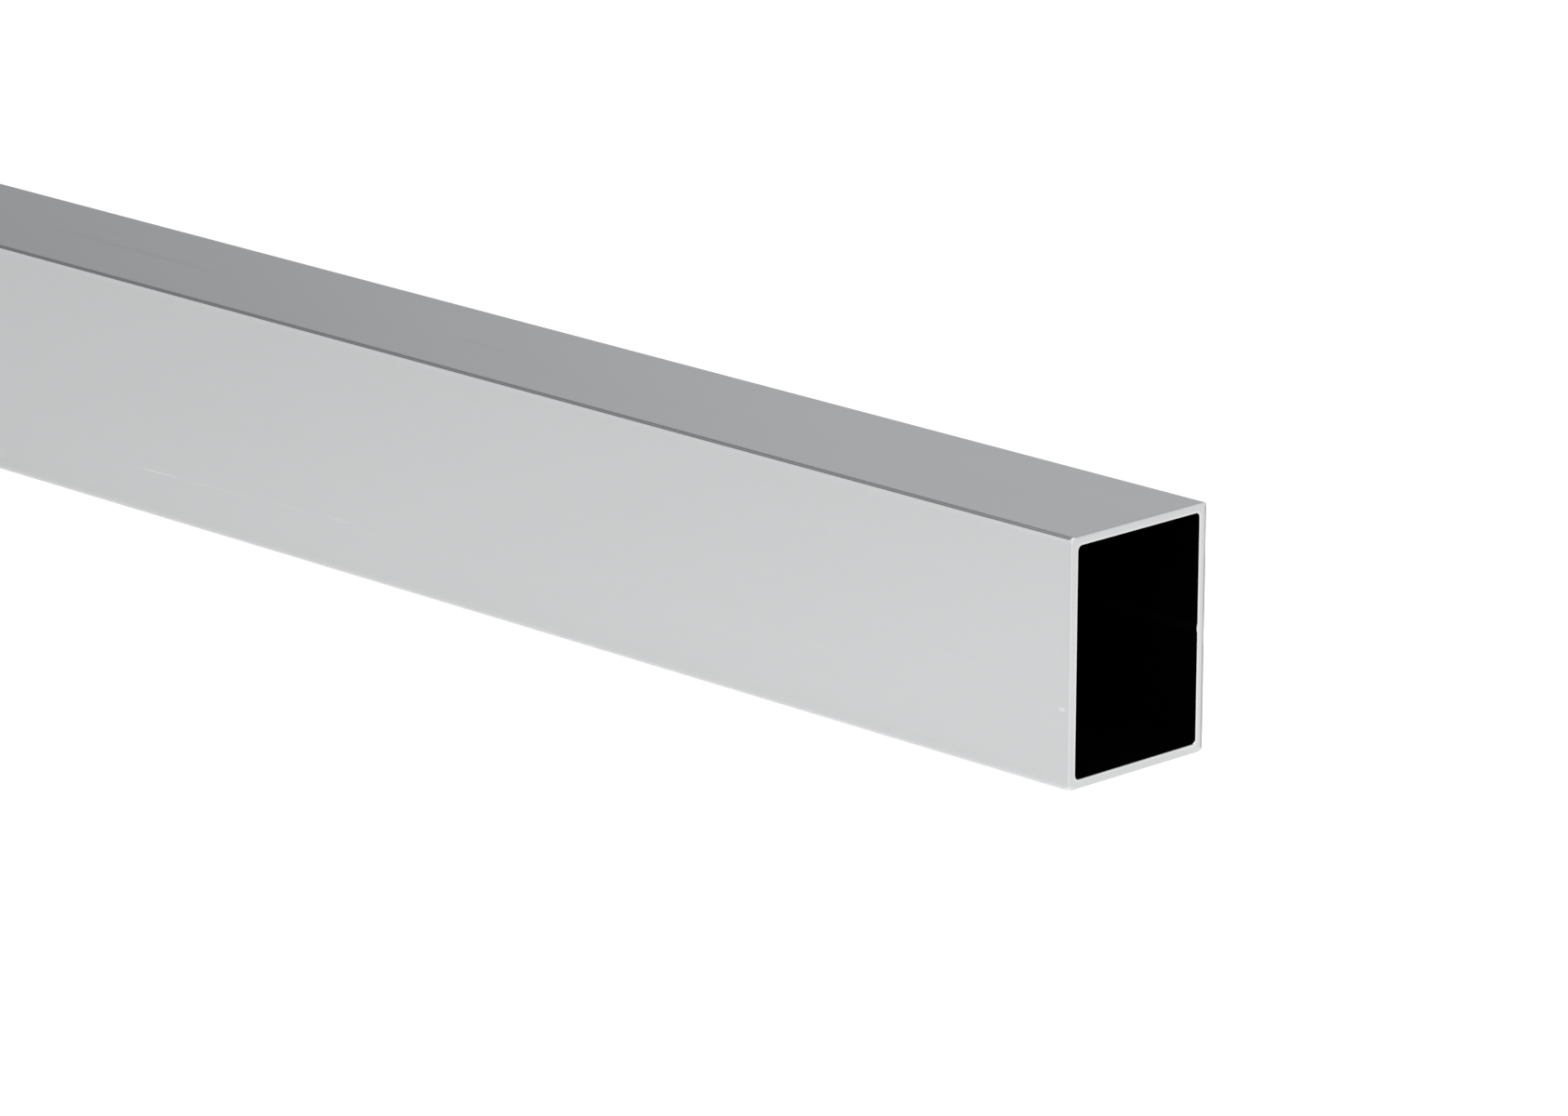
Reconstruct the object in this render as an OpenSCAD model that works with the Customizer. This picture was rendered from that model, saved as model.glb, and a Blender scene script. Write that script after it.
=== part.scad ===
// Galvanised rectangular steel tube, a length of thin-walled framing stock.
// The strip is rolled into a box, welded along the middle of its far wall and sawn to length,
// so the whole tube is one piece. It lies along X on its narrow side, and the origin is under its middle.

/* [Section] */
// Width of the section, across the tube
section_w = 30; // [20:1:80]
// Height of the section
section_h = 40; // [20:1:100]
// Thickness of the wall
wall_t = 1.5; // [1.2:0.1:3]
// Radius of the outer corners
outer_r = 0.5; // [0.4:0.1:2]
// Radius of the inner corners
inner_r = 0.8; // [0.3:0.1:2]

/* [Length] */
// Length that the tube is sold in
tube_l = 1000; // [200:50:6000]

/* [Sawn ends] */
// Depth to which a brush breaks the outer edge of each sawn end
outer_break = 0.15; // [0.1:0.05:0.4]
// Depth to which it breaks the inner edge
inner_break = 0.15; // [0.05:0.05:0.4]

/* [Weld seam] */
// Width of the trimmed bead that the weld leaves inside the tube
bead_w = 1.6; // [1:0.1:2.5]
// Height of that bead above the inner face of the wall
bead_h = 0.15; // [0.1:0.05:0.5]

/* [Hidden] */
$fn = 64;

outer = [section_w, section_h];
inner = [section_w - 2 * wall_t, section_h - 2 * wall_t];
// the outside and the hollow have their full section between the broken edges of the two ends
outer_l = tube_l - 2 * outer_break;
inner_l = tube_l - 2 * inner_break;
// circle whose cap is the bead: its chord is the bead's width and its rise the bead's height
bead_r = (pow(bead_w / 2, 2) + pow(bead_h, 2)) / (2 * bead_h);
// the bead's root reaches this far into the wall
bead_root = wall_t / 2;

// Rectangle with round corners, centred on the origin
module round_rect(size, r) {
    square([size.x, size.y - 2 * r], center = true);
    square([size.x - 2 * r, size.y], center = true);
    for (x = [-1, 1], y = [-1, 1])
        translate([x * (size.x / 2 - r), y * (size.y / 2 - r)])
            circle(r);
}

// Solid that rises from round_rect(size, r) while each side moves out by grow, with its corners still round.
// Two crossing wedges carry the flat sides, and a cone fills each corner.
module round_taper(size, r, grow, rise) {
    for (turn = [0, 1]) {
        across = turn == 0 ? size.x : size.y;
        along = (turn == 0 ? size.y : size.x) - 2 * r;
        rotate([0, 0, 90 * turn])
            translate([0, along / 2, 0])
                rotate([90, 0, 0])
                    linear_extrude(along)
                        polygon([
                            [-across / 2, 0], [across / 2, 0],
                            [across / 2 + grow, rise], [-across / 2 - grow, rise]
                        ]);
    }
    for (x = [-1, 1], y = [-1, 1])
        translate([x * (size.x / 2 - r), y * (size.y / 2 - r), 0])
            cylinder(h = rise, r1 = r, r2 = r + grow);
}

// Lays a solid that rises along Z down along X, with the section standing on the ground
module along_x(from) {
    translate([from, 0, section_h / 2])
        rotate([90, 0, 90])
            children();
}

// Runs a flat section along the middle of the tube for the given length
module run(length) {
    along_x(-length / 2)
        linear_extrude(length)
            children();
}

// Puts the same solid at both ends of that length, mirrored
module at_both_ends(length) {
    for (side = [0, 1])
        mirror([side, 0, 0])
            along_x(length / 2)
                children();
}

// Outside of the tube, drawn in where the outer edges of its ends are broken
module envelope() {
    run(outer_l)
        round_rect(outer, outer_r);
    at_both_ends(outer_l)
        round_taper(outer, outer_r, -outer_break, outer_break);
}

// Hollow of the tube, flared where the inner edges of its ends are broken
module hollow() {
    run(inner_l)
        round_rect(inner, inner_r);
    at_both_ends(inner_l)
        round_taper(inner, inner_r, inner_break, inner_break);
}

// Bead inside the far wall, where the two edges of the strip were welded together
module weld_bead() {
    run(inner_l)
        intersection() {
            translate([inner.x / 2 + bead_r - bead_h, 0])
                circle(bead_r);
            translate([inner.x / 2 - bead_h, -bead_w / 2])
                square([bead_h + bead_root, bead_w]);
        }
}

module tube() {
    color([0.66, 0.67, 0.68]) {
        difference() {
            envelope();
            hollow();
        }
        weld_bead();
    }
}

tube();
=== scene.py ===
# %% [markdown]
# This script gives one length of galvanised rectangular steel tube its looks. The construction model already
# knows how big the tube is and where it lies, so it is loaded first and never moved, and every size below is
# read from it or measured against it. All lengths are in metres. The tube lies along X, its sawn end that
# faces the camera is at the highest X, and it rests on the floor at height zero.

# %% Load the frame
import math

import bpy
import numpy as np
from mathutils import Matrix, Vector


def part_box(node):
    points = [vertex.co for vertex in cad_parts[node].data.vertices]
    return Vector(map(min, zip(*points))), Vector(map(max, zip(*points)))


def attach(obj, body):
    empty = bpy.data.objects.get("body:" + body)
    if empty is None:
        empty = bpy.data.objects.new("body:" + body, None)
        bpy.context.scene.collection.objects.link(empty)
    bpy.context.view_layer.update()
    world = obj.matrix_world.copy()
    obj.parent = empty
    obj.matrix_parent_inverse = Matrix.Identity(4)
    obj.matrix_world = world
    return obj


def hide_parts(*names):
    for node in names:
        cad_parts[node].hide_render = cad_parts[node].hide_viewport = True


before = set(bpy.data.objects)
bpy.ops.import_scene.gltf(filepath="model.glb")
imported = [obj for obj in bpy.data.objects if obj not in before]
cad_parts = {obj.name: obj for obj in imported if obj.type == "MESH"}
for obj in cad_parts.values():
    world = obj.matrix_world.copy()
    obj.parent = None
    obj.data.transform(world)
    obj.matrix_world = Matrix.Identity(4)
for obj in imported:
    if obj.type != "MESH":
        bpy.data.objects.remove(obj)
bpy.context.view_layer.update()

low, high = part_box("tube")
length, width, height = high - low
middle = (low + high) / 2
MM = 0.001
print(f"tube: {length / MM:.0f} mm long, {width / MM:.0f} mm wide, {height / MM:.0f} mm high")

# %% [markdown]
# The camera comes before any looks, because each finish is judged through it. The picture was taken from in
# front of the sawn end, with a long lens that keeps the far edges nearly parallel. A camera could be placed
# by eye and nudged, but three angles, a distance and the point it aims at say the same thing in numbers that
# can be checked. Its axes are built from those angles, and a small roll tips the horizon.

# %% Place the camera
AZIMUTH = math.radians(45.30)
ELEVATION = math.radians(16.10)
ROLL = math.radians(0.237)
DISTANCE = 1.2676
LENS_MM = 183.1
SENSOR_MM = 36.0
AIM_FROM_END = 76.7 * MM
AIM_HEIGHT = 18.0 * MM


def camera_axes(azimuth, elevation, roll):
    """Right, up and backward directions of a camera that circles the object. Backward is the direction of
    the two angles, right is level and square to it, and the roll turns right and up about backward."""
    back = Vector((
        math.sin(azimuth) * math.cos(elevation),
        -math.cos(azimuth) * math.cos(elevation),
        math.sin(elevation),
    ))
    right = Vector((math.cos(azimuth), math.sin(azimuth), 0))
    up = back.cross(right)
    rolled_right = right * math.cos(roll) + up * math.sin(roll)
    return rolled_right, back.cross(rolled_right), back


right, up, back = camera_axes(AZIMUTH, ELEVATION, ROLL)
aim = Vector((high.x - AIM_FROM_END, middle.y, low.z + AIM_HEIGHT))
turned = Matrix((right, up, back)).transposed().to_4x4()
camera_data = bpy.data.cameras.new("camera")
camera_data.lens = LENS_MM
camera_data.sensor_width = SENSOR_MM
camera_data.clip_start = 0.05
camera_data.clip_end = 100
camera = bpy.data.objects.new("camera", camera_data)
camera.matrix_world = Matrix.Translation(aim + back * DISTANCE) @ turned
bpy.context.scene.collection.objects.link(camera)
bpy.context.scene.camera = camera
print("camera at", [round(c, 4) for c in camera.location], "aiming at", [round(c, 4) for c in aim])

# %% [markdown]
# Every surface in this script is a grid of points: rows run one way, columns the other, and a face joins
# each point to its next neighbours. Numpy works out the whole grid at once, which is far quicker than adding
# vertices one by one, and one helper turns any such grid into a mesh. A direction that closes on itself
# wraps round, so its last row or column meets its first with no seam and no doubled points.

# %% Grid helper
def mesh_from_grid(name, points, wrap_rows=False, wrap_columns=False):
    """Mesh of quads over points[row, column]. Face (r, c) joins (r, c), (r, c+1), (r+1, c+1) and (r+1, c),
    counted round where a direction wraps, so its front is on the side of column step cross row step."""
    rows, columns = points.shape[:2]
    row, column = np.meshgrid(
        np.arange(rows if wrap_rows else rows - 1),
        np.arange(columns if wrap_columns else columns - 1),
        indexing="ij",
    )
    next_row, next_column = (row + 1) % rows, (column + 1) % columns
    corners = [(row, column), (row, next_column), (next_row, next_column), (next_row, column)]
    quads = np.stack([r * columns + c for r, c in corners], axis=-1).reshape(-1, 4)
    mesh = bpy.data.meshes.new(name)
    mesh.vertices.add(rows * columns)
    mesh.vertices.foreach_set("co", points.astype(np.float32).ravel())
    mesh.loops.add(quads.size)
    mesh.loops.foreach_set("vertex_index", quads.astype(np.int32).ravel())
    mesh.polygons.add(len(quads))
    mesh.polygons.foreach_set("loop_start", np.arange(0, quads.size, 4, dtype=np.int32))
    mesh.update(calc_edges=True)
    mesh.validate()
    return mesh


def add_object(name, mesh):
    """An object for the mesh, at the origin, in the scene."""
    made = bpy.data.objects.new(name, mesh)
    bpy.context.scene.collection.objects.link(made)
    return made


# %% [markdown]
# The tube's cross-section is a rectangle with tight round corners. It could be a cube with a Bevel modifier,
# but then the inside, the outside and the sawn rim would be three meshes to join. Instead one outline is
# described so that it can be drawn at any depth in the wall: take the small rectangle through the four
# corner centres, walk round it, and push each point outwards by the corner radius. On a side the push
# direction stays the same while the point moves. In a corner the point stays while the direction turns a
# quarter. The rolls press the strip round its outer corners unevenly, so these run out farther across the
# narrow faces than down the sides, and each has two radii, as a quarter of an ellipse does.

# %% Walk round the section
WALL = 1.5 * MM
OUTER_ACROSS = 0.75 * MM
OUTER_UP = 0.40 * MM
INNER_RADIUS = 0.8 * MM
CORNER_STEPS = 8
SIDE_STEPS = 12
TIGHT = 0.006  # share of a side between its end and the next point, so that the flats are shaded flat


def side_shares(extra=()):
    """Places along one side as shares of it: even steps, a tight pair at each end and any extra ones."""
    return np.unique(np.concatenate([np.linspace(0, 1, SIDE_STEPS + 1), [TIGHT, 1 - TIGHT], extra]))


def section_walk(seam_shares):
    """The walk round the section, counter-clockwise as seen from the highest X. Each point gets the signs of
    the corner centre that it leaves and of the one that it nears, its share of the way, and its push
    direction."""
    corners = [(1, -1), (1, 1), (-1, 1), (-1, -1)]
    from_corner, to_corner, share, angle = [], [], [], []
    for i, corner in enumerate(corners):
        following = corners[(i + 1) % 4]
        along = side_shares(seam_shares if i == 0 else ())
        from_corner += [corner] * len(along)
        to_corner += [following] * len(along)
        share += list(along)
        angle += [i * math.pi / 2] * len(along)
        turn = np.arange(1, CORNER_STEPS) / CORNER_STEPS
        from_corner += [following] * len(turn)
        to_corner += [following] * len(turn)
        share += [0.0] * len(turn)
        angle += list((i + turn) * math.pi / 2)
    return np.array(from_corner), np.array(to_corner), np.array(share), np.array(angle)


print(f"one plain side: {len(side_shares())} points, and {CORNER_STEPS - 1} more in each corner")

# %% [markdown]
# The edges of the strip meet in a weld along the middle of the far wall. Inside, the squeezed-out metal
# stays as a low bead. Outside, a tool has shaved it off, which leaves a shallow flat band. Both are part of
# the wall, so they are not separate pieces laid on it: the far side of the section just gets extra points
# where the seam runs, and those points move by the height of the bead or the depth of the shaved band.

# %% Shape of the weld seam
BEAD_WIDTH = 1.6 * MM
BEAD_HEIGHT = 0.15 * MM
BEAD_POINTS = 9
SHAVED_WIDTH = 4.5 * MM
SHAVED_DEPTH = 0.03 * MM
SHAVED_EDGE = 0.35 * MM
RIPPLE_PITCH = 3.1 * MM
RIPPLE_SHARE = 0.22  # share of the bead's height that the ripples take off at most
SLOW_PITCH = 2.37 * RIPPLE_PITCH
SLOW_RIPPLE = 0.6  # height of the slow ripple as a share of the quick one's

bead_circle = ((BEAD_WIDTH / 2) ** 2 + BEAD_HEIGHT ** 2) / (2 * BEAD_HEIGHT)
flat_half = height / 2 - WALL - INNER_RADIUS
seam_places = np.concatenate([
    np.linspace(-BEAD_WIDTH / 2, BEAD_WIDTH / 2, BEAD_POINTS),
    [side * (SHAVED_WIDTH / 2 + step) for side in (-1, 1) for step in (-SHAVED_EDGE, 0, SHAVED_EDGE)],
])
walk = section_walk(0.5 + seam_places / (2 * flat_half))
print(f"section walk: {len(walk[2])} points")


def bead_rise(up_from_seam, x):
    """Height of the bead over the wall: the cap of a circle, which swells and shrinks a little along X where
    the molten metal froze in ripples. Two sines with unlike pitches keep the ripples from repeating."""
    cap = np.sqrt(np.maximum(bead_circle ** 2 - up_from_seam ** 2, 0)) - (bead_circle - BEAD_HEIGHT)
    ripple = np.sin(x * math.tau / RIPPLE_PITCH) + SLOW_RIPPLE * np.sin(x * math.tau / SLOW_PITCH)
    crest = 1 + SLOW_RIPPLE
    return np.maximum(cap, 0) * (1 - RIPPLE_SHARE * (crest + ripple) / (2 * crest))


def shaved_sink(up_from_seam):
    """Depth of the shaved band: full depth in the middle, running out to nothing over its soft edges."""
    inside = (SHAVED_WIDTH / 2 + SHAVED_EDGE / 2 - np.abs(up_from_seam)) / SHAVED_EDGE
    return SHAVED_DEPTH * np.clip(inside, 0, 1)


# %% [markdown]
# The skin of the whole tube is that section carried along one closed path: over the outside from one end to
# the other, round the brushed outer edge, across the sawn rim, round the inner edge, back through the hollow
# and out at the first end. The path has two numbers at each stop: where it is along X and how deep it is in
# the wall. Because path and section both close, the mesh has no border anywhere, just as the real tube is
# one skin round one piece of steel.

# %% Path round the wall
OUTER_BREAK = 0.15 * MM
INNER_BREAK = 0.15 * MM
EDGE_STEPS = 6
RIM_STEPS = 5
HUG = 0.1 * MM  # distance from a broken edge to the next stop, for the same reason as TIGHT
PLAIN_FROM = 1.2 * MM  # distance from the end past which the tips move nothing
INNER_FROM = 0.4 * MM  # distance from the end at which the even stops in the hollow start
OUTER_STOPS = 40
INNER_STOPS = 420
ZINC_SLOT, SAWN_SLOT, BORE_SLOT = range(3)


def half_path():
    """Stops from the middle of the outside to the middle of the hollow, by way of the end at the highest X.
    Each broken edge is a quarter circle. The third array gives the finish of the faces after each stop."""
    end = length / 2
    quarter = np.linspace(0, math.pi / 2, EDGE_STEPS + 1)
    outside_x = np.concatenate([np.linspace(0, end - PLAIN_FROM, OUTER_STOPS), [end - OUTER_BREAK - HUG]])
    outer_x = end - OUTER_BREAK * (1 - np.sin(quarter))
    outer_depth = OUTER_BREAK * (1 - np.cos(quarter))
    rim_depth = np.linspace(OUTER_BREAK, WALL - INNER_BREAK, RIM_STEPS + 1)[1:-1]
    inner_x = end - INNER_BREAK * (1 - np.cos(quarter))
    inner_depth = WALL - INNER_BREAK * (1 - np.sin(quarter))
    inside_x = np.concatenate([[end - INNER_BREAK - HUG], np.linspace(end - INNER_FROM, 0, INNER_STOPS)])
    x = np.concatenate([outside_x, outer_x, np.full(len(rim_depth), end), inner_x, inside_x])
    depth = np.concatenate([
        np.zeros(len(outside_x)), outer_depth, rim_depth, inner_depth, np.full(len(inside_x), WALL),
    ])
    sawn = len(outer_x) + len(rim_depth) + len(inner_x) - 1
    finish = np.repeat([ZINC_SLOT, SAWN_SLOT, BORE_SLOT], [len(outside_x), sawn, len(inside_x) + 1])
    return x, depth, finish


def full_path():
    """The half path and its mirror image, joined into one closed loop that starts at the middle outside."""
    x, depth, finish = half_path()
    back_x, back_depth = -x[-2:0:-1], depth[-2:0:-1]
    back_finish = finish[-2::-1]
    return (
        np.concatenate([x, back_x]),
        np.concatenate([depth, back_depth]),
        np.concatenate([finish[:-1], back_finish]),
    )


stop_x, stop_depth, stop_finish = full_path()
print(f"path: {len(stop_x)} stops, {np.count_nonzero(stop_finish == SAWN_SLOT)} of them on the two sawn rims")

# %% [markdown]
# The broken edges are quarter rounds, since a wire brush never leaves a flat, and it takes the most off the
# eight tips, where two sides meet a sawn end. A Bevel modifier could round edges, but not by an amount that
# changes along them. Here the points in a corner are simply moved before the section is drawn, and one
# smooth function of the push direction says by how much. The corner radii change with the depth in the wall
# in the same plain way, from stop to stop.

# %% Tips and corner radii
TIP_EXTRA = 0.22 * MM


def round_the_tips(x, depth, angle):
    """Moves the stops of the points in a corner, where the outer broken edge is wider by TIP_EXTRA times the
    squared sine of twice the push direction. That is 0 on the sides and 1 halfway round a corner. The stops
    on the broken edge step back from the end and sink by shares of it, and those beside it give way
    evenly."""
    extra = TIP_EXTRA * np.sin(2 * angle) ** 2
    setback = length / 2 - np.abs(x)
    stepped = np.interp(setback, [0, OUTER_BREAK, OUTER_BREAK + HUG, PLAIN_FROM], [0, 1, 1, 0])
    sunk = np.interp(depth, [0, OUTER_BREAK, WALL - INNER_BREAK], [0, 1, 0])
    return x - np.sign(x) * stepped * (depth < WALL / 2) * extra, depth + sunk * extra


def corner_radius(depth, on_outside):
    """Corner radius at a depth in the wall. It shrinks with the depth from its value on the outside, grows
    over the inner broken edge, and changes evenly across the rim between them."""
    return np.interp(
        depth,
        [0, OUTER_BREAK, WALL - INNER_BREAK, WALL],
        [on_outside, on_outside - OUTER_BREAK, INNER_RADIUS + INNER_BREAK, INNER_RADIUS],
    )


print(f"corner on the rim: {corner_radius(OUTER_BREAK, OUTER_ACROSS) / MM:.2f} mm across")

# %% Skin of the tube
def tube_skin():
    """Points of the skin, [stop, section point]. The section at a depth is the outline of the outer
    rectangle drawn in by that depth, with its corner centres drawn in by the corner radii as well and each
    point pushed out from there by those radii."""
    from_corner, to_corner, share, angle = walk
    x, depth = round_the_tips(stop_x[:, None], stop_depth[:, None], angle)
    radius_across = corner_radius(depth, OUTER_ACROSS)
    radius_up = corner_radius(depth, OUTER_UP)
    centre = from_corner + (to_corner - from_corner) * share[:, None]
    across = centre[:, 0] * (width / 2 - depth - radius_across) + radius_across * np.cos(angle)
    upward = centre[:, 1] * (height / 2 - depth - radius_up) + radius_up * np.sin(angle)
    far_wall = angle == 0
    inside = np.clip((depth - (WALL - INNER_BREAK)) / INNER_BREAK, 0, 1)
    outside = np.clip(1 - depth / OUTER_BREAK, 0, 1)
    across = across - far_wall * inside * bead_rise(upward, x)
    across = across - far_wall * outside * shaved_sink(upward)
    return np.stack([x, across + middle.y, upward + middle.z], axis=-1)


skin_points = tube_skin()
skin_mesh = mesh_from_grid("steel_tube", skin_points, wrap_rows=True, wrap_columns=True)
points_round = len(walk[2])
face_finish = np.repeat(stop_finish, points_round).astype(np.int32)
skin_mesh.polygons.foreach_set("material_index", face_finish)
skin_mesh.polygons.foreach_set("use_smooth", np.ones(len(skin_mesh.polygons), bool))
wall_depth = skin_mesh.attributes.new("wall_depth", "FLOAT", "POINT")
wall_depth.data.foreach_set("value", np.repeat(stop_depth / WALL, points_round).astype(np.float32))
steel_tube = add_object("steel_tube", skin_mesh)
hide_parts("tube")
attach(steel_tube, "root")
print(f"skin: {len(stop_x)} stops x {points_round} points, {2 * len(skin_mesh.polygons)} triangles")

# %% [markdown]
# A finish is a material, and a material is a small graph of nodes. Adding nodes by hand in code gets long,
# so one helper adds a node, sets its plain values and links its inputs in a single call. The others are
# short names for the steps that the finishes below share: where a point of the surface is, sums on numbers
# and on vectors, a value stretched to another range, values added up by weight, a fade between two colours,
# and masks laid one after another over a colour.

# %% Node helpers
def add_node(tree, kind, inputs=None, **settings):
    """Adds a node. An input that is given a socket is linked to it, and any other value is set on it."""
    node = tree.nodes.new(kind)
    for key, value in settings.items():
        setattr(node, key, value)
    for key, value in (inputs or {}).items():
        if isinstance(value, bpy.types.NodeSocket):
            tree.links.new(value, node.inputs[key])
        else:
            node.inputs[key].default_value = value
    return node


def object_place(tree):
    """Where the point is in the frame, as a vector socket."""
    return add_node(tree, "ShaderNodeTexCoord").outputs["Object"]


def ranged(tree, value, from_min, from_max, to_min=0.0, to_max=1.0):
    """The value carried over smoothly from one range to another, and held at its ends."""
    return add_node(tree, "ShaderNodeMapRange", {
        "Value": value, "From Min": from_min, "From Max": from_max, "To Min": to_min, "To Max": to_max,
    }, interpolation_type="SMOOTHSTEP").outputs["Result"]


def maths(tree, operation, first, second=0.0):
    """One sum on one or two values."""
    return add_node(tree, "ShaderNodeMath", {0: first, 1: second}, operation=operation).outputs[0]


def vectors(tree, operation, *values):
    """One sum on one or two vectors. Its answer is a vector, or a number where the sum measures them."""
    node = add_node(tree, "ShaderNodeVectorMath", dict(enumerate(values)), operation=operation)
    measures = operation in ("LENGTH", "DISTANCE", "DOT_PRODUCT")
    return node.outputs["Value" if measures else "Vector"]


def weighted(tree, start, parts):
    """The start value plus each part's value times its weight."""
    total = start
    for value, weight in parts:
        total = add_node(
            tree, "ShaderNodeMath", {0: value, 1: weight, 2: total}, operation="MULTIPLY_ADD",
        ).outputs[0]
    return total


def fade(tree, factor, first, second):
    """The colour that lies that far from the first to the second."""
    return add_node(tree, "ShaderNodeMix", {0: factor, 6: first, 7: second}, data_type="RGBA").outputs[2]


def shade(colour, level):
    """The colour made lighter or darker by one factor."""
    return tuple(channel * level for channel in colour[:3]) + (1.0,)


def layered(tree, metal, colour, layers):
    """Lays masks over a colour, one after another. Where a layer's mask is 1, the metal shows at the layer's
    own level."""
    for mask, level in layers:
        colour = fade(tree, mask, colour, shade(metal, level))
    return colour


# %% [markdown]
# Some effects show on more than one finish of this tube: soft spots, lines that were drawn along the strip
# by the rolls, and the reach of a brush round an edge. Such an effect is built once as a node group, which
# is to nodes what a function is to code, and each material places it with its own values. The first group is
# plain noise with one trick. Its X coordinate is divided by a stretch before the noise is read, so that a
# stretch of 1 gives grain and patches, and a stretch of 200 gives lines 200 times as long as they are wide.

# %% Group for spots and drawn lines
NOISE_RANGE = (0.25, 0.75)  # the noise keeps between these values nearly everywhere


def new_group(name, inputs, outputs):
    """An empty shader node group with named float or vector sockets, and its two end nodes."""
    group = bpy.data.node_groups.new(name, "ShaderNodeTree")
    for in_out, sockets in (("INPUT", inputs), ("OUTPUT", outputs)):
        for socket_name, default in sockets.items():
            kind = "NodeSocketFloat" if isinstance(default, float) else "NodeSocketVector"
            socket = group.interface.new_socket(socket_name, in_out=in_out, socket_type=kind)
            socket.default_value = default
    print(f"group {name}: {', '.join(inputs) or 'nothing'} in, {', '.join(outputs)} out")
    return group, group.nodes.new("NodeGroupInput"), group.nodes.new("NodeGroupOutput")


def build_spots():
    """Value = noise at (x / Stretch, y, z), with Per Metre spots in a metre, spread to run from 0 to 1."""
    inputs = {"Per Metre": 100.0, "Stretch": 1.0, "Detail": 2.0}
    tree, given, result = new_group("spots", inputs, {"Value": 0.0})
    along = maths(tree, "DIVIDE", 1.0, given.outputs["Stretch"])
    squeeze = add_node(tree, "ShaderNodeCombineXYZ", {"X": along, "Y": 1.0, "Z": 1.0}).outputs[0]
    drawn = vectors(tree, "MULTIPLY", object_place(tree), squeeze)
    noise = add_node(tree, "ShaderNodeTexNoise", {
        "Vector": drawn, "Scale": given.outputs["Per Metre"], "Detail": given.outputs["Detail"],
    })
    tree.links.new(ranged(tree, noise.outputs["Fac"], *NOISE_RANGE), result.inputs["Value"])
    return tree


SPOTS = build_spots()


def spots(tree, kind):
    """Places the spots group in a material and gives its value. A kind of spots is three numbers: how many
    there are in a metre, their stretch along the tube, and their detail."""
    values = dict(zip(("Per Metre", "Stretch", "Detail"), kind))
    return add_node(tree, "ShaderNodeGroup", values, node_tree=SPOTS).outputs["Value"]


# %% [markdown]
# Wear follows the shape: corners that rub in a bundle turn bright, and the brush that cleans a sawn end
# leaves a collar. Some corners and the tips are also lightened as painted highlights. Blender could bake
# such places from the mesh, but on a straight tube plain sums give them exactly. A second group puts out
# three distances, and every finish turns the one that it needs into a mask that fades with its own reach.
# The group reads Object coordinates, which equal the frame here because the tube's object sits at the
# origin, so the wear and the painted highlights stay on the steel whatever the camera does.

# %% Group for distances to ends and corners
def build_distances():
    """To End = half the length - |x|. To Corner = length of (half the width - |y|, half the height - |z -
    middle height|). To Tip = length of all three gaps, which is 0 only where two sides meet a sawn end."""
    names = ("To End", "To Corner", "To Tip")
    tree, _, result = new_group("distances", {}, dict.fromkeys(names, 0.0))
    unsigned = vectors(tree, "ABSOLUTE", vectors(tree, "SUBTRACT", object_place(tree), middle))
    gaps = vectors(tree, "SUBTRACT", (high - low) / 2, unsigned)
    across = vectors(tree, "MULTIPLY", gaps, (0.0, 1.0, 1.0))
    distances = (
        add_node(tree, "ShaderNodeSeparateXYZ", {0: gaps}).outputs["X"],
        vectors(tree, "LENGTH", across),
        vectors(tree, "LENGTH", gaps),
    )
    for name, distance in zip(names, distances):
        tree.links.new(distance, result.inputs[name])
    return tree


DISTANCES = build_distances()


def near(tree, distance, reach):
    """Mask that is 1 where the named distance of the distances group is 0, and 0 from the reach on."""
    group = add_node(tree, "ShaderNodeGroup", node_tree=DISTANCES)
    return ranged(tree, group.outputs[distance], reach, 0.0)


# %% [markdown]
# Handling leaves a few marks. One faint scratch runs nearly along the lower part of the side and breaks up
# into dashes, there is a nick where its line meets the sawn end, and the top has dull streaks. Scratches
# could be random, but these have known places, so a group draws one mark from its two ends. It is a lens:
# its strength fades to the sides and towards both ends. A point's share of the way t and its distance from
# the line follow from dot products, as in a drawing program's brush.

# %% Group for one mark
def build_mark():
    """Mask = Strength x 4 t (1 - t) x (1 - distance / Half Width), smoothed, and 0 past either end, where t
    is how far along Start to End the point's foot lies and distance is how far the point is from that
    foot."""
    inputs = {"Start": (0, 0, 0), "End": (1, 0, 0), "Half Width": 1 * MM, "Strength": 1.0}
    tree, given, result = new_group("mark", inputs, {"Mask": 0.0})
    start, end = given.outputs["Start"], given.outputs["End"]
    line = vectors(tree, "SUBTRACT", end, start)
    reach = vectors(tree, "SUBTRACT", object_place(tree), start)
    line_squared = vectors(tree, "DOT_PRODUCT", line, line)
    share = maths(tree, "DIVIDE", vectors(tree, "DOT_PRODUCT", reach, line), line_squared)
    foot = add_node(tree, "ShaderNodeVectorMath", {0: line, "Scale": share}, operation="SCALE").outputs[0]
    distance = vectors(tree, "DISTANCE", reach, foot)
    lens = maths(tree, "MULTIPLY", maths(tree, "MULTIPLY", share, 4.0), maths(tree, "SUBTRACT", 1.0, share))
    inside = maths(tree, "MAXIMUM", lens, 0.0)
    body = ranged(tree, distance, given.outputs["Half Width"], 0.0)
    strength = maths(tree, "MULTIPLY", body, given.outputs["Strength"])
    tree.links.new(maths(tree, "MULTIPLY", strength, inside), result.inputs["Mask"])
    return tree


MARK = build_mark()


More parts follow.
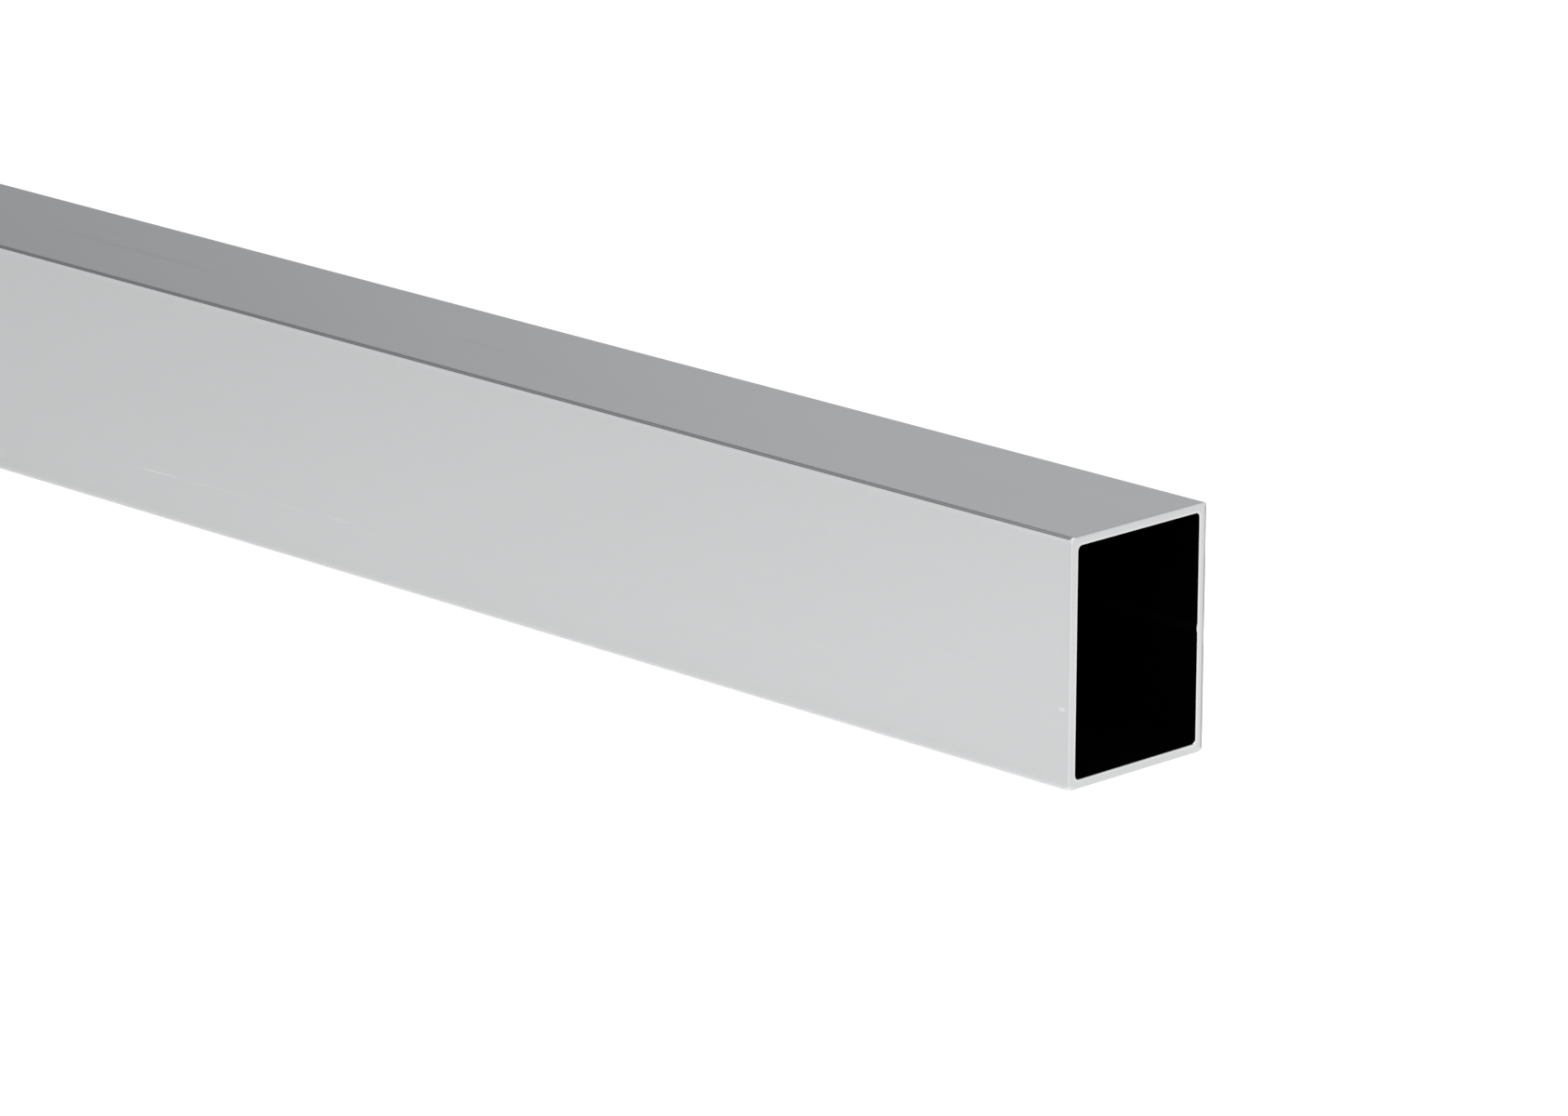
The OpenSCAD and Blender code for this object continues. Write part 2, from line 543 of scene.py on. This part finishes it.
def marks(tree, rows, point_on_face):
    """Sum of one mark for each row of: distance from the near sawn end and place across the face at the
    start, the same at the end, half width, all in millimetres, and strength."""
    total = []
    for start_back, start_across, end_back, end_across, half_width, strength in rows:
        group = add_node(tree, "ShaderNodeGroup", {
            "Start": point_on_face(high.x - start_back * MM, start_across * MM),
            "End": point_on_face(high.x - end_back * MM, end_across * MM),
            "Half Width": half_width * MM, "Strength": strength,
        }, node_tree=MARK)
        total.append((group.outputs["Mask"], 1.0))
    return weighted(tree, 0.0, total)


# %% Marks on the zinc
SCRATCHES = (
    (231.0, 7.38, 209.0, 7.90, 0.20, 0.22),
    (218.0, 7.68, 206.5, 7.95, 0.28, 0.85),
    (211.0, 7.88, 187.5, 8.25, 0.22, 0.45),
    (185.5, 8.45, 172.5, 8.62, 0.20, 0.35),
    (169.5, 8.78, 163.5, 8.92, 0.34, 0.55),
    (164.5, 9.00, 160.5, 9.60, 0.25, 0.20),
    (57.5, 11.28, 50.5, 11.45, 0.16, 0.28),
    (46.5, 11.50, 42.0, 11.62, 0.16, 0.20),
    (11.0, 12.42, 2.0, 12.52, 0.18, 0.22),
    (2.4, 12.72, 0.75, 12.80, 0.42, 1.70),
)
DULL_STREAKS = (
    (260.0, 0.15, 228.0, -0.15, 1.2, 0.85),
    (242.0, -0.05, 211.0, -0.35, 1.2, 0.90),
    (158.0, -0.60, 138.0, -1.00, 1.2, 0.50),
    (263.0, 5.20, 238.0, 5.35, 1.2, 0.40),
)


def on_plain_side(x, up_from_floor):
    """Point on the side that faces the camera."""
    return (x, low.y, low.z + up_from_floor)


def on_top(x, across):
    """Point on the top."""
    return (x, middle.y + across, high.z)


print(f"marks: {len(SCRATCHES)} scratches on the side, {len(DULL_STREAKS)} dull streaks on the top")

# %% [markdown]
# The outside is strip steel that was dipped in zinc before it was rolled into a tube. Fresh zinc like this
# is a satin mirror of the room, so its own colour is pale and even, and nearly all that the eye reads comes
# from how rough it is and what it reflects. The detail is kept as faint as on the real tube: grain of a few
# tenths of a millimetre, fainter lines drawn by the rolls, a very slow drift of tone, and a dull collar where
# the brush went over the sawn edge. The long corners are worn smooth and a little lighter, partly a painted
# highlight, with a thin line of painted highlight beside each. They are lighter still near the brushed ends
# and along the bottom, where the tube slides over floors, which is wear and painted highlight together. The
# tips are rubbed and painted brightest, a painted highlight.

# %% Start of a metal finish
MICRON = 0.001 * MM


def new_material(name):
    """A metal with only its Principled BSDF and its output left in the graph."""
    material = bpy.data.materials.new(name)
    material.use_nodes = True
    shader = material.node_tree.nodes["Principled BSDF"]
    shader.inputs["Metallic"].default_value = 1
    return material, material.node_tree, shader


def bump(tree, shader, height_in_microns):
    """Lets a height, in thousandths of a millimetre, tilt the surface."""
    node = add_node(tree, "ShaderNodeBump", {"Distance": MICRON, "Height": height_in_microns})
    tree.links.new(node.outputs["Normal"], shader.inputs["Normal"])


def across_and_up(tree):
    """The point's y, across the tube, and its z, up from the floor, as two sockets."""
    parts = add_node(tree, "ShaderNodeSeparateXYZ", {0: object_place(tree)})
    return parts.outputs["Y"], parts.outputs["Z"]


# %% Zinc: grain, lines, worn places and painted highlights
GRAIN = (3400.0, 1.0, 2.0)  # how many in a metre, their stretch and detail, here and in the next three
ROLLED_LINES = (2300.0, 240.0, 3.0)
ROLLED_BANDS = (210.0, 45.0, 2.0)
SLOW_DRIFT = (14.0, 3.0, 2.0)
CORNER_REACH = 1.1 * MM
# The next two distances from a long corner bound a thin line of painted highlight on each face.
HIGHLIGHT_LINE_TO = 1.6 * MM
HIGHLIGHT_LINE_FROM = 1.0 * MM
BRUSHED_AND_HIGHLIGHT_REACH = 25 * MM
SLID_AND_HIGHLIGHT_REACH = 0.8 * MM
SLID_AND_HIGHLIGHT_HEIGHT = 1 * MM  # full wear and painted highlight up to this height, none from twice as high
COLLAR_REACH = 1.1 * MM
TIP_RUB_AND_HIGHLIGHT_REACH = 1.0 * MM
zinc, tree, shader = new_material("zinc")
y, z = across_and_up(tree)
grain = spots(tree, GRAIN)
lines = spots(tree, ROLLED_LINES)
bands = spots(tree, ROLLED_BANDS)
drift = spots(tree, SLOW_DRIFT)
corner = near(tree, "To Corner", CORNER_REACH)
beside_corner = near(tree, "To Corner", HIGHLIGHT_LINE_TO)
# A thin band 1.0 to 1.6 mm from each long corner, lightened as a painted highlight.
painted_highlight_line = maths(tree, "SUBTRACT", beside_corner, near(tree, "To Corner", HIGHLIGHT_LINE_FROM))
# The long corners within 25 mm of each sawn end: rubbed by the brush, and lightened as a painted highlight on
# the dark line that they mirror.
brushed_and_highlight = maths(tree, "MULTIPLY", corner, near(tree, "To End", BRUSHED_AND_HIGHLIGHT_REACH))
# The bottom long corners: worn where the tube slides, and lightened as a painted highlight of the bright
# floor beside them.
low_down = ranged(tree, z, low.z + 2 * SLID_AND_HIGHLIGHT_HEIGHT, low.z + SLID_AND_HIGHLIGHT_HEIGHT)
slid_and_highlight = maths(tree, "MULTIPLY", near(tree, "To Corner", SLID_AND_HIGHLIGHT_REACH), low_down)
collar = near(tree, "To End", COLLAR_REACH)
# The eight tips: rubbed, and painted bright as a painted highlight.
tip_rub_and_highlight = near(tree, "To Tip", TIP_RUB_AND_HIGHLIGHT_REACH)
scratch = marks(tree, SCRATCHES, on_plain_side)
streak = marks(tree, DULL_STREAKS, on_top)
line_length = ROLLED_LINES[1] / ROLLED_LINES[0]
print(f"zinc: grain of {1 / GRAIN[0] / MM:.2f} mm, drawn lines about {line_length / MM:.0f} mm long")

# %% [markdown]
# The weld on the far side burns the zinc off, so the maker sprays a stripe of fresh zinc over the shaved
# seam. Sprayed zinc is a crust of tiny drops: duller, rougher and a little darker than the dipped coat, with
# a feathered edge. A hard-edged mask would look like tape, so noise moves the edge in and out, and a wide
# soft step lets the stripe thin out over a few millimetres. The far side and the underside also lay on racks
# and other tubes, so the hairlines that show faintly everywhere are easier to see there.

# %% Zinc: far side and underside
SCUFF_LINES = (900.0, 55.0, 3.0)
RAGGED_EDGE = (260.0, 3.0, 2.0)
SPRAYED_DROPS = (2600.0, 1.0, 2.0)
SCUFFS_START, SCUFFS_FULL = 0.80, 0.97  # values of the noise at which a hairline starts and is full
SCUFFS_ELSEWHERE, SCUFFS_RACKED = 0.08, 0.6
FACE_FULL, FACE_GONE = 0.2 * MM, 0.6 * MM  # depths below a face at which its mask is full and gone
STRIPE_FULL = 3.0 * MM
STRIPE_GONE = 6.5 * MM
STRIPE_WANDER = 1.4 * MM
on_far_side = ranged(tree, y, high.y - FACE_GONE, high.y - FACE_FULL)
on_underside = ranged(tree, z, low.z + FACE_GONE, low.z + FACE_FULL)
racked = maths(tree, "MAXIMUM", on_far_side, on_underside)
racked_share = ranged(tree, racked, 0.0, 1.0, SCUFFS_ELSEWHERE, SCUFFS_RACKED)
hairlines = ranged(tree, spots(tree, SCUFF_LINES), SCUFFS_START, SCUFFS_FULL)
scuffs = maths(tree, "MULTIPLY", hairlines, racked_share)
from_seam = maths(tree, "ABSOLUTE", maths(tree, "SUBTRACT", z, middle.z))
ragged = weighted(tree, from_seam, [(spots(tree, RAGGED_EDGE), STRIPE_WANDER)])
sprayed = maths(tree, "MULTIPLY", ranged(tree, ragged, STRIPE_GONE, STRIPE_FULL), on_far_side)
drops = maths(tree, "MULTIPLY", spots(tree, SPRAYED_DROPS), sprayed)
print(f"sprayed stripe: gone by {STRIPE_GONE / MM:.1f} mm from the seam")

# %% [markdown]
# All these masks meet in one Principled BSDF. The colour passes through them one after another, so that the
# worn corners and tips, with their painted highlights, lie over the rest, and each brings the zinc to a level
# of its own. On the open faces the levels stay close to 1, because the finish is nearly even. The roughness
# and the height are sums instead, to which each mask adds a small share. The shares are small because this
# is metal: a height of a few ten-thousandths of a millimetre already bends the reflection.

# %% Zinc: colour, roughness and height
ZINC = (0.564, 0.573, 0.578, 1.0)
ZINC_ROUGHNESS = 0.27
TONE_SPREAD = 0.024
SPRAYED_COVER = 0.8
COLLAR_COVER = 0.5
tone = weighted(tree, 0.0, [(grain, 0.54), (lines, 0.11), (bands, 0.12), (drift, 0.23)])
colour = fade(tree, tone, shade(ZINC, 1 - TONE_SPREAD), shade(ZINC, 1 + TONE_SPREAD))
colour = layered(tree, ZINC, colour, (
    (maths(tree, "MULTIPLY", sprayed, SPRAYED_COVER), 0.86),
    (maths(tree, "MULTIPLY", collar, COLLAR_COVER), 0.96),
    (streak, 0.93),
    (scuffs, 1.10),
    (scratch, 1.12),
    # painted highlight line beside the long corners
    (painted_highlight_line, 1.055),
    # the long corners, worn smooth and lightened a little, partly as a painted highlight
    (corner, 1.03),
    # corners near the ends, brushed and lightened as a painted highlight
    (brushed_and_highlight, 1.11),
    # bottom corners, worn and lightened as a painted highlight
    (slid_and_highlight, 1.25),
    # tips, rubbed and painted bright, a painted highlight
    (tip_rub_and_highlight, 1.5),
))
tree.links.new(colour, shader.inputs["Base Color"])
roughness = weighted(tree, ZINC_ROUGHNESS, [
    (grain, 0.025), (lines, 0.012), (drift, 0.02), (corner, -0.04),
    (scratch, -0.05), (scuffs, 0.06), (sprayed, 0.2), (tip_rub_and_highlight, 0.06),
])
tree.links.new(roughness, shader.inputs["Roughness"])
bump(tree, shader, weighted(tree, 0.0, [
    (grain, 0.04), (lines, 0.03), (scratch, -0.5), (scuffs, -0.3), (drops, 8.0),
]))
print(f"zinc: {len(tree.nodes)} nodes")

# %% [markdown]
# A cold saw cut the tube, so the rim is bare steel with the blade's fine arcs in it, and a wire brush then
# took the burr off. Arcs round a far-off centre could be a wave texture, but a real blade's lines are
# uneven, so the distance from the blade's axle goes into a noise with one dimension. Where the finish
# changes across the wall, it follows the attribute that was stored with the skin: the inner edge, which the
# brush left smoother, is painted brightest, and the outer edge has a thin line of painted highlight. On the
# far wall, where the blade came out, the last of the burr keeps its relief, and its outer edge is painted
# dark, a painted shade. The tips, where two sides and the cut meet, are rubbed and painted bright, a painted
# highlight, on both finishes.

# %% Sawn steel: arcs, edges with painted highlights, and burr with painted shade
BLADE_AXLE = (low.y - 55 * MM, high.z + 100 * MM)
ARCS_PER_METRE = 3400.0
ARCS_DETAIL = 3.0
SAWN_GRAIN = (5200.0, 1.0, 2.0)
SAWN_PATCHES = (420.0, 1.0, 2.0)
# The next four numbers shape the far outer edge of the rim: a burr with relief, painted dark as a painted
# shade.
BURR_AND_SHADE_GAPS = (130.0, 1.0, 2.0)
BURR_AND_SHADE_WIDTH = 0.7 * MM
BURR_AND_SHADE_EDGE = 0.1 * MM
BURR_AND_SHADE_THINNEST = 0.5
INNER_EDGE = (0.70, 0.84)  # shares of the wall's depth over which this mask and the next two grow to 1
OUTER_EDGE = (0.16, 0.06)
OUTER_HALF = (0.62, 0.35)
sawn, tree, shader = new_material("sawn")
y, z = across_and_up(tree)
depth_share = add_node(tree, "ShaderNodeAttribute", attribute_name="wall_depth").outputs["Fac"]
to_axle = add_node(tree, "ShaderNodeCombineXYZ", {
    "X": maths(tree, "SUBTRACT", y, BLADE_AXLE[0]), "Y": maths(tree, "SUBTRACT", z, BLADE_AXLE[1]),
}).outputs[0]
arc_noise = add_node(tree, "ShaderNodeTexNoise", {
    "W": vectors(tree, "LENGTH", to_axle), "Scale": ARCS_PER_METRE, "Detail": ARCS_DETAIL,
}, noise_dimensions="1D")
arcs = ranged(tree, arc_noise.outputs["Fac"], *NOISE_RANGE)
grain = spots(tree, SAWN_GRAIN)
patches = spots(tree, SAWN_PATCHES)
# The inner and outer edges of the rim are lightened as painted highlights; the inner one is also smoother.
inner_edge = ranged(tree, depth_share, *INNER_EDGE)
outer_edge = ranged(tree, depth_share, *OUTER_EDGE)
outer_half = ranged(tree, depth_share, *OUTER_HALF)
# The outer edge of the far rim: a burr with relief and roughness, painted dark as a painted shade.
burr_and_shade = ranged(tree, y, high.y - BURR_AND_SHADE_WIDTH, high.y - BURR_AND_SHADE_EDGE)
burr_and_shade_left = ranged(tree, spots(tree, BURR_AND_SHADE_GAPS), 0.1, 0.6, BURR_AND_SHADE_THINNEST, 1.0)
burr_and_shade = maths(tree, "MULTIPLY", burr_and_shade, burr_and_shade_left)
# The tips on the rim: rubbed, and painted bright as a painted highlight.
tip_rub_and_highlight = near(tree, "To Tip", TIP_RUB_AND_HIGHLIGHT_REACH)
print(f"saw arcs: about {1 / ARCS_PER_METRE / MM:.2f} mm apart, burr {BURR_AND_SHADE_WIDTH / MM:.1f} mm wide")

# %% Sawn steel: colour, roughness and height
SAWN = (0.642, 0.650, 0.654, 1.0)
SAWN_ROUGHNESS = 0.34
SAWN_SPREAD = 0.03
tone = weighted(tree, 0.0, [(arcs, 0.5), (grain, 0.3), (patches, 0.2)])
colour = fade(tree, tone, shade(SAWN, 1 - SAWN_SPREAD), shade(SAWN, 1 + SAWN_SPREAD))
colour = layered(tree, SAWN, colour, (
    (outer_half, 0.985),
    # thin painted highlight on the outer edge
    (outer_edge, 1.05),
    # painted highlight on the inner edge
    (inner_edge, 1.12),
    # burr edge painted dark, a painted shade
    (burr_and_shade, 0.50),
    # tips, rubbed and painted bright, a painted highlight
    (tip_rub_and_highlight, 1.35),
))
tree.links.new(colour, shader.inputs["Base Color"])
roughness = weighted(tree, SAWN_ROUGHNESS, [(arcs, 0.06), (grain, 0.03), (inner_edge, -0.08), (burr_and_shade, 0.1)])
tree.links.new(roughness, shader.inputs["Roughness"])
bump(tree, shader, weighted(tree, 0.0, [(arcs, 1.2), (grain, 0.3), (burr_and_shade, 3.0)]))
print(f"sawn steel: {len(tree.nodes)} nodes")

# %% [markdown]
# Almost no light comes back out of the hollow, and from the camera it is plain black. A metal there would
# mirror the bright floor just inside the rim, so the bore is a dull surface painted near black instead, a
# painted shade far darker than the oil and scale of a real tube. Its lines and patches only show when it is
# lit from close by, and the weld bead is a little paler, as bare steel is, though still painted near black.

# %% Bore in painted shade, with the weld bead
# Colours of the bore: near black, a painted shade standing in for the dark hollow.
BORE_SHADE_PAINTED_DARK = (0.0005, 0.0005, 0.0005, 1.0)
BORE_SHADE_PAINTED_PALE = (0.0013, 0.0012, 0.0011, 1.0)
BEAD_SHADE_PAINTED = (0.0022, 0.0022, 0.0023, 1.0)
BORE_LINES = (1500.0, 120.0, 3.0)
BORE_PATCHES = (60.0, 3.0, 2.0)
BORE_DUST = (900.0, 1.0, 2.0)
BORE_ROUGHNESS = 0.7
BEAD_DEPTH = 1.5 * WALL  # depth below the far side down to which the bead's colour is full
BEAD_SOFTNESS = 0.1  # share of the bead's width over which its colour fades, on each side of its edge
bore, tree, shader = new_material("bore")
shader.inputs["Metallic"].default_value = 0
shader.inputs["Specular IOR Level"].default_value = 0.0
y, z = across_and_up(tree)
lines = spots(tree, BORE_LINES)
patches = spots(tree, BORE_PATCHES)
from_seam = maths(tree, "ABSOLUTE", maths(tree, "SUBTRACT", z, middle.z))
bead_gone, bead_full = (BEAD_WIDTH * (0.5 + step) for step in (BEAD_SOFTNESS, -BEAD_SOFTNESS))
towards_far_wall = ranged(tree, y, middle.y, high.y - BEAD_DEPTH)
bead = maths(tree, "MULTIPLY", ranged(tree, from_seam, bead_gone, bead_full), towards_far_wall)
# Lines and patches vary the tone within the painted shade.
bore_tone = weighted(tree, 0.0, [(lines, 0.5), (patches, 0.5)])
colour = fade(tree, bore_tone, BORE_SHADE_PAINTED_DARK, BORE_SHADE_PAINTED_PALE)
colour = fade(tree, bead, colour, BEAD_SHADE_PAINTED)
tree.links.new(colour, shader.inputs["Base Color"])
roughness = weighted(tree, BORE_ROUGHNESS, [(lines, 0.15), (bead, -0.2)])
tree.links.new(roughness, shader.inputs["Roughness"])
bump(tree, shader, weighted(tree, 0.0, [(lines, 1.5), (spots(tree, BORE_DUST), 1.0)]))
for material in (zinc, sawn, bore):
    skin_mesh.materials.append(material)
print(f"finishes on the skin: {[material.name for material in skin_mesh.materials]}")

# %% [markdown]
# The tube lies on a photographer's sheet of white paper, and this floor does half the lighting: the side of
# the tube is a mirror of the floor in front of it, and the rim mirrors the floor to its right. Both are
# brightest near the sawn end, as under a lamp that hangs over it, so the paper glows in a soft pool just in
# front of that end. Lamps alone could make it, but they would burn out the paper and the top of the steel.
# The glow is only added for rays that look at the paper: camera rays get a little more, which keeps the
# background white, and mirror rays get the pool. Other rays see bare paper, so the glow lights nothing, and
# the tube's own shadow stays on the paper.

# %% Sheet of paper
FLOOR_HALF = 30.0
FLOOR_GAP = 0.05 * MM
floor_z = low.z - FLOOR_GAP
floor_corners = np.array([
    [[-FLOOR_HALF, FLOOR_HALF, floor_z], [-FLOOR_HALF, -FLOOR_HALF, floor_z]],
    [[FLOOR_HALF, FLOOR_HALF, floor_z], [FLOOR_HALF, -FLOOR_HALF, floor_z]],
])
floor = add_object("floor", mesh_from_grid("floor", floor_corners))
print(f"floor: {2 * FLOOR_HALF:.0f} m square, at {floor_z / MM:.2f} mm")

# %% Glow of the paper
PAPER = (0.806, 0.800, 0.792, 1.0)
FLOOR_GLOW = 0.235
POOL_GLOW = 0.29
POOL_REACH = 0.4
POOL_CENTRE = (high.x + 10 * MM, low.y - 60 * MM, low.z)
CAMERA_GLOW = 0.20
paper = bpy.data.materials.new("paper")
paper.use_nodes = True
tree = paper.node_tree
tree.nodes.clear()
light_path = add_node(tree, "ShaderNodeLightPath")
pool_distance = vectors(tree, "DISTANCE", object_place(tree), POOL_CENTRE)
glow_level = add_node(tree, "ShaderNodeMapRange", {
    "Value": pool_distance, "From Min": 0, "From Max": POOL_REACH,
    "To Min": FLOOR_GLOW + POOL_GLOW, "To Max": FLOOR_GLOW,
}).outputs["Result"]
glow_level = weighted(tree, glow_level, [(light_path.outputs["Is Camera Ray"], CAMERA_GLOW)])
diffuse = add_node(tree, "ShaderNodeBsdfDiffuse", {"Color": PAPER}).outputs[0]
glow = add_node(tree, "ShaderNodeEmission", {"Strength": glow_level}).outputs[0]
glowing = add_node(tree, "ShaderNodeAddShader", {0: diffuse, 1: glow}).outputs[0]
mirror_ray = maths(
    tree, "MAXIMUM", light_path.outputs["Is Glossy Ray"], light_path.outputs["Is Transmission Ray"],
)
looking_ray = maths(tree, "MAXIMUM", mirror_ray, light_path.outputs["Is Camera Ray"])
both = add_node(tree, "ShaderNodeMixShader", {0: looking_ray, 1: diffuse, 2: glowing}).outputs[0]
add_node(tree, "ShaderNodeOutputMaterial", {"Surface": both})
floor.data.materials.append(paper)
print(f"paper: glows from {FLOOR_GLOW + POOL_GLOW:.3f} in the pool to {FLOOR_GLOW:.3f} around it")

# %% [markdown]
# The world is the studio: white near the horizon, where it meets the paper, and darker above. What the top
# of the tube mirrors is a band of it low on the far left, and the tube gets brighter towards its end there,
# so the room has a bright half on the right and a dim half on the left that blend just where that band lies.
# The dim half is darkest at the height that the near long corner mirrors, which draws the thin dark line
# along it. Low down it also has a trace of blue, as shade has. A picture of a room would do the same, but
# two ramps by height and one blend across hold the whole room in a few numbers that can be tuned one by one.

# %% World
BRIGHT_SIDE = Vector((0.702, 0.712, 0))
BLEND_FROM = -0.12
BLEND_TO = 0.027
DIM_TINT = (0.975, 1.0, 1.03)
BRIGHT_TINT = (0.984, 1.0, 1.018)
DIM_LEVELS = ((0.05, 1.0, 1), (0.28, 0.30, 1), (0.55, 0.12, 0), (0.8, 0.58, 0))
BRIGHT_LEVELS = ((0.05, 1.0, 1), (0.28, 0.618, 1), (0.7, 0.50, 1), (1.0, 0.53, 1))


def level_ramp(tree, levels, tint, height_socket):
    """Levels by the height of a direction, eased from stop to stop. Each row has its height, its level and
    the share of the tint that multiplies it."""
    ramp = add_node(tree, "ShaderNodeValToRGB", {0: height_socket})
    ramp.color_ramp.interpolation = "EASE"
    stops = ramp.color_ramp.elements
    while len(stops) < len(levels):
        stops.new(0.5)
    for stop, (position, level, tinted) in zip(stops, levels):
        stop.position = position
        stop.color = [level * (1 + tinted * (channel - 1)) for channel in tint] + [1]
    return ramp.outputs["Color"]


world = bpy.data.worlds.new("studio")
bpy.context.scene.world = world
world.use_nodes = True
tree = world.node_tree
tree.nodes.clear()
direction = add_node(tree, "ShaderNodeTexCoord").outputs["Generated"]
upward = add_node(tree, "ShaderNodeSeparateXYZ", {0: direction}).outputs["Z"]
side = vectors(tree, "DOT_PRODUCT", direction, BRIGHT_SIDE)
sky = fade(
    tree, ranged(tree, side, BLEND_FROM, BLEND_TO),
    level_ramp(tree, DIM_LEVELS, DIM_TINT, upward), level_ramp(tree, BRIGHT_LEVELS, BRIGHT_TINT, upward),
)
background = add_node(tree, "ShaderNodeBackground", {"Color": sky, "Strength": 1.0})
add_node(tree, "ShaderNodeOutputWorld", {"Surface": background.outputs[0]})
print(f"studio: top of the room at {DIM_LEVELS[-1][1]}, darkest at {min(row[1] for row in DIM_LEVELS)}")

# %% [markdown]
# One wide lamp high above, a little towards the camera, gives the floor its plain level, the tube its soft
# shadow and the rounded tips their spark. It is a sun, which lights evenly however long the tube is, and its
# angle of 50 degrees makes it as soft as a lamp behind a large sheet of cloth. The colours go to the picture
# by the Standard view, which leaves them as they are.

# %% Lamp
SUN = 1.4
SUN_ANGLE = math.radians(50)
SUN_FROM = Vector((0.35, -0.25, 0.90))
sun_data = bpy.data.lights.new("key", "SUN")
sun_data.energy = SUN
sun_data.angle = SUN_ANGLE
sun = bpy.data.objects.new("key", sun_data)
sun.rotation_euler = SUN_FROM.to_track_quat("Z", "Y").to_euler()
bpy.context.scene.collection.objects.link(sun)
bpy.context.scene.view_settings.view_transform = "Standard"
print(f"lamp: strength {SUN}, {math.degrees(SUN_ANGLE):.0f} degrees wide")
